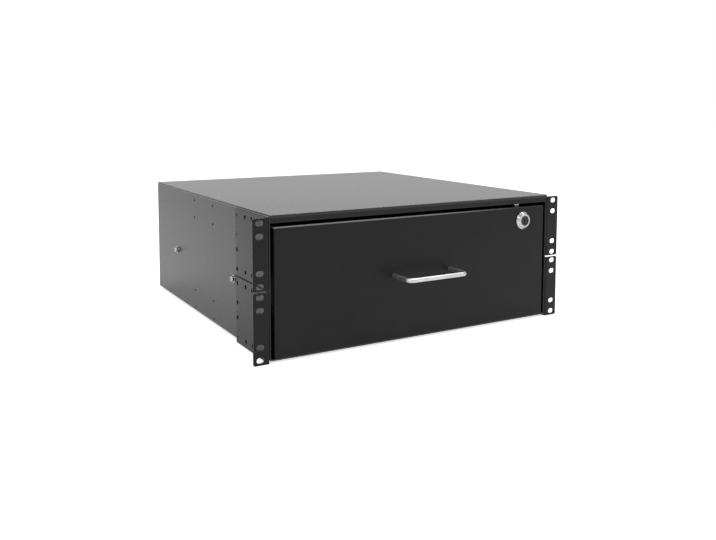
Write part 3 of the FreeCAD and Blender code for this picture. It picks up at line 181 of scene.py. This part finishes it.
def powder_coat(name, dark, light, roughness, gloss_level=0.5, painted_highlight=PAINTED_EDGE_HIGHLIGHT, fade=None):
    """Black powder coat: a fine pebbled skin, uneven in tone and gloss, with a painted highlight as a
    lighter tone on upward-facing bends.
    """
    coat = Surface(name, dark, roughness=roughness)
    coat.shader.inputs["IOR"].default_value = COAT_IOR
    coat.shader.inputs["Specular IOR Level"].default_value = gloss_level
    cloud = coat.noise(COAT_CLOUDS, detail=4.0)
    pebble = coat.noise(COAT_PEBBLES, detail=2.0)
    fleck = coat.noise(COAT_FLECKS, detail=4.0, roughness=0.7)
    tone = coat.mix(mapped(coat.tree, cloud, CLOUD_SPAN), dark, light)
    specks = mapped(coat.tree, fleck, FLECK_SPAN, (0.0, SPECK_SHARE))
    skin = coat.mix(specks, tone, tinted(light, *SPECK_TINT))
    # Mask of the upward bends, where a highlight is painted in a lighter tone
    rounded, edge = coat.softened()
    # The painted highlight fades along the object's X
    if fade is not None:
        across = coat.part_of(coat.place, "X")
        edge = combined(coat.tree, "MULTIPLY", edge, mapped(coat.tree, across, *fade))
    gloss = mapped(coat.tree, fleck, GLOSS_SPAN, (roughness - SMOOTHER, roughness + ROUGHER))
    return coat.finish(
        Base_Color=coat.mix(edge, skin, painted_highlight),
        Roughness=gloss,
        Normal=coat.bump(pebble, COAT_RELIEF, rounded),
    )


# Plated and bare metal: noise scales (per m), relief (m), and the darker tone of its clouds
METAL_CLOUDS = 60.0
METAL_LINES = 700.0
METAL_RELIEF = 0.000004
METAL_TINT = (0.86, 0.0)
LENGTHWISE = (1.0, 0.04, 1.0)


def plated(name, color, roughness, cloudiness=0.04, stretch=(1.0, 1.0, 1.0)):
    """Bright metal with faint clouding and fine marks, which a stretch makes into hairlines."""
    metal = Surface(name, color, metallic=1.0, roughness=roughness)
    cloud = metal.noise(METAL_CLOUDS, detail=3.0)
    line = metal.noise(METAL_LINES, detail=3.0, stretch=stretch)
    tone = metal.mix(mapped(metal.tree, cloud, CLOUD_SPAN), color, tinted(color, *METAL_TINT))
    gloss = mapped(metal.tree, line, GLOSS_SPAN, (roughness - cloudiness, roughness + cloudiness))
    return metal.finish(Base_Color=tone, Roughness=gloss, Normal=metal.bump(line, METAL_RELIEF))


# Rubber and plastic: noise scale (per m), relief (m), and the paler tone of its grit
MOULDED_GRIT = 1200.0
MOULDED_RELIEF = 0.00001
MOULDED_TINT = (1.6, 0.004)


def moulded(name, color, roughness):
    """Moulded rubber or plastic with a fine matt grain."""
    skin = Surface(name, color, roughness=roughness)
    grit = skin.noise(MOULDED_GRIT, detail=2.0)
    tone = skin.mix(mapped(skin.tree, grit, GRIT_SPAN), color, tinted(color, *MOULDED_TINT))
    return skin.finish(Base_Color=tone, Normal=skin.bump(grit, MOULDED_RELIEF))


# The painted highlight on the drawer's top edges fades towards the lock, as the lamp's highlight does:
# between these places (m), down to this share
FRONT_HIGHLIGHT_FADE = ((0.02, 0.17), (1.0, 0.1))

# Paints and metals by material slot
MATERIALS = {
    # Coats: dark and light tone, roughness, gloss level and the tone of the painted highlight on upward
    # bends. The ears' and the drawer's coats are darker, less glossy copies of the case's: painted shade
    # on the front-facing parts.
    "case_paint": powder_coat("case_powder_coat", grey(0.010), grey(0.014), 0.28, 0.375),
    "ear_paint": powder_coat("ear_coat_painted_shade", grey(0.005), grey(0.008), 0.26, 0.2, grey(0.06)),
    "drawer_paint": powder_coat(
        "drawer_coat_painted_shade", grey(0.005), grey(0.008), 0.34, 0.2, grey(0.21), FRONT_HIGHLIGHT_FADE
    ),
    "black_steel": powder_coat("black_oxide", grey(0.012), grey(0.02), 0.42, painted_highlight=grey(0.03)),
    "zinc_plate": plated("zinc_plate", (0.62, 0.64, 0.66), 0.28, stretch=LENGTHWISE),
    "cage_steel": plated("stamped_strip", grey(0.5), 0.34, stretch=LENGTHWISE),
    "ball_steel": plated("bearing_steel", (0.75, 0.76, 0.78), 0.08, cloudiness=0.02),
    "chrome_plate": plated("chrome_plate", grey(0.44), 0.1, cloudiness=0.03),
    "plug_metal": plated("dull_nickel", grey(0.05), 0.3),
    "buffer_rubber": moulded("buffer_rubber", grey(0.012), 0.75),
    "lever_plastic": moulded("lever_plastic", (0.014, 0.014, 0.015), 0.5),
}

# Pieces that differ from their slot: a satin wire pull, a header with painted shade (a darker, duller
# copy of the case's coat) and a strike with painted light (a brighter copy of the zinc)
NODE_MATERIALS = {
    "handle": plated("satin_chrome", grey(0.6), 0.38, cloudiness=0.05),
    "front_header": powder_coat("header_coat_painted_shade", grey(0.008), grey(0.011), 0.32, 0.22),
    "lock_strike": plated("zinc_painted_light", grey(0.92), 0.45),
}

for part in frame["record"]["subparts"]:
    mesh = nodes[part["node"]].data
    mesh.materials.clear()
    mesh.materials.append(NODE_MATERIALS.get(part["node"], MATERIALS[part["material_slot"]]))


# Floor and world: sizes (m), the floor's tone, and how brightly each kind of ray sees them
FLOOR_DROP = 0.0005
FLOOR_SIZE = 16.0
FLOOR_TONE = 0.82
SEEN_GLOW = 0.7
MIRRORED_GLOW = 0.5
SEEN_SKY = 1.0
SKY_LIGHT = 0.5


def seen_rays(tree):
    """The camera rays, and all camera, glossy and transmission rays, as ones among zeros."""
    rays = tree.nodes.new("ShaderNodeLightPath").outputs
    seen = rays["Is Camera Ray"]
    for name in ("Is Glossy Ray", "Is Transmission Ray"):
        seen = combined(tree, "ADD", seen, rays[name])
    return rays["Is Camera Ray"], seen


def floor_material():
    """A pale floor that also glows, except for the diffuse light that it gives off."""
    material = bpy.data.materials.new("floor_white")
    material.use_nodes = True
    tree = material.node_tree
    tree.nodes.clear()
    camera_rays, seen = seen_rays(tree)
    diffuse = tree.nodes.new("ShaderNodeBsdfDiffuse")
    diffuse.inputs["Color"].default_value = (*grey(FLOOR_TONE), 1.0)
    glow = tree.nodes.new("ShaderNodeEmission")
    strength = mapped(tree, camera_rays, ends=(MIRRORED_GLOW, SEEN_GLOW))
    tree.links.new(strength, glow.inputs["Strength"])
    both = tree.nodes.new("ShaderNodeAddShader")
    tree.links.new(diffuse.outputs[0], both.inputs[0])
    tree.links.new(glow.outputs[0], both.inputs[1])
    blend = tree.nodes.new("ShaderNodeMixShader")
    tree.links.new(seen, blend.inputs["Fac"])
    tree.links.new(diffuse.outputs[0], blend.inputs[1])
    tree.links.new(both.outputs[0], blend.inputs[2])
    output = tree.nodes.new("ShaderNodeOutputMaterial")
    tree.links.new(blend.outputs[0], output.inputs["Surface"])
    return material


def build_floor():
    """A large floor that shows as white and keeps the object's shadow."""
    level = cad_box[0].z - FLOOR_DROP
    bpy.ops.mesh.primitive_plane_add(size=FLOOR_SIZE, location=(0.0, 0.0, level))
    floor = bpy.context.object
    floor.name = "floor"
    floor.data.materials.append(floor_material())


def build_world():
    """An even soft studio that shows as white to the camera and in reflections."""
    world = bpy.data.worlds.new("studio")
    bpy.context.scene.world = world
    world.use_nodes = True
    tree = world.node_tree
    background = tree.nodes["Background"]
    background.inputs["Color"].default_value = (*grey(1.0), 1.0)
    seen = seen_rays(tree)[1]
    tree.links.new(mapped(tree, seen, ends=(SKY_LIGHT, SEEN_SKY)), background.inputs["Strength"])


# Soft boxes: name, place and target (m), side (m) and power (W)
SOFT_BOXES = (
    ("key_light", (-2.0, -1.5, 2.2), (0.0, 0.15, 0.0), 1.6, 24.0),
    ("top_light", (0.8, -0.1, 2.4), (0.0, 0.1, 0.0), 1.4, 36.0),
)


def soft_box(name, place, target, side, power):
    """A square area lamp turned towards its target."""
    lamp = bpy.data.lights.new(name, "AREA")
    lamp.shape = "RECTANGLE"
    lamp.size = side
    lamp.size_y = side
    lamp.energy = power
    lamp_object = bpy.data.objects.new(name, lamp)
    bpy.context.scene.collection.objects.link(lamp_object)
    lamp_object.location = place
    aim = Vector(target) - Vector(place)
    lamp_object.rotation_euler = aim.to_track_quat("-Z", "Y").to_euler()


build_floor()
build_world()
for box in SOFT_BOXES:
    soft_box(*box)


# Camera, fitted to the rack slots and corners in the photograph: place (m), turns (degrees),
# focal length, centre row and picture size (pixels), sensor width (mm) and clipping (m)
CAMERA_PLACE = (-0.5936, -0.8513, 0.2208)
CAMERA_PITCH = 5.0
CAMERA_YAW = -30.22
CAMERA_ROLL = 0.11
FOCAL_PIXELS = 789.2
CENTRE_ROW = 174.1
IMAGE_WIDTH = 716.0
IMAGE_HEIGHT = 540.0
SENSOR = 36.0
CLIP_NEAR = 0.01
CLIP_FAR = 50.0


def turned(pitch=0.0, yaw=0.0):
    """A turn about the X axis or the Z axis, in degrees."""
    return Euler((math.radians(pitch), 0.0, math.radians(yaw))).to_matrix()


def build_camera():
    """The photograph's camera."""
    data = bpy.data.cameras.new("camera")
    data.sensor_width = SENSOR
    data.lens = FOCAL_PIXELS * SENSOR / IMAGE_WIDTH
    data.shift_y = (CENTRE_ROW - IMAGE_HEIGHT / 2) / IMAGE_WIDTH
    data.clip_start = CLIP_NEAR
    data.clip_end = CLIP_FAR
    camera = bpy.data.objects.new("camera", data)
    bpy.context.scene.collection.objects.link(camera)
    facing = turned(yaw=CAMERA_YAW) @ turned(pitch=90.0 - CAMERA_PITCH) @ turned(yaw=CAMERA_ROLL)
    camera.rotation_euler = facing.to_euler()
    camera.location = CAMERA_PLACE
    bpy.context.scene.camera = camera


build_camera()
bpy.context.scene.view_settings.view_transform = "Standard"
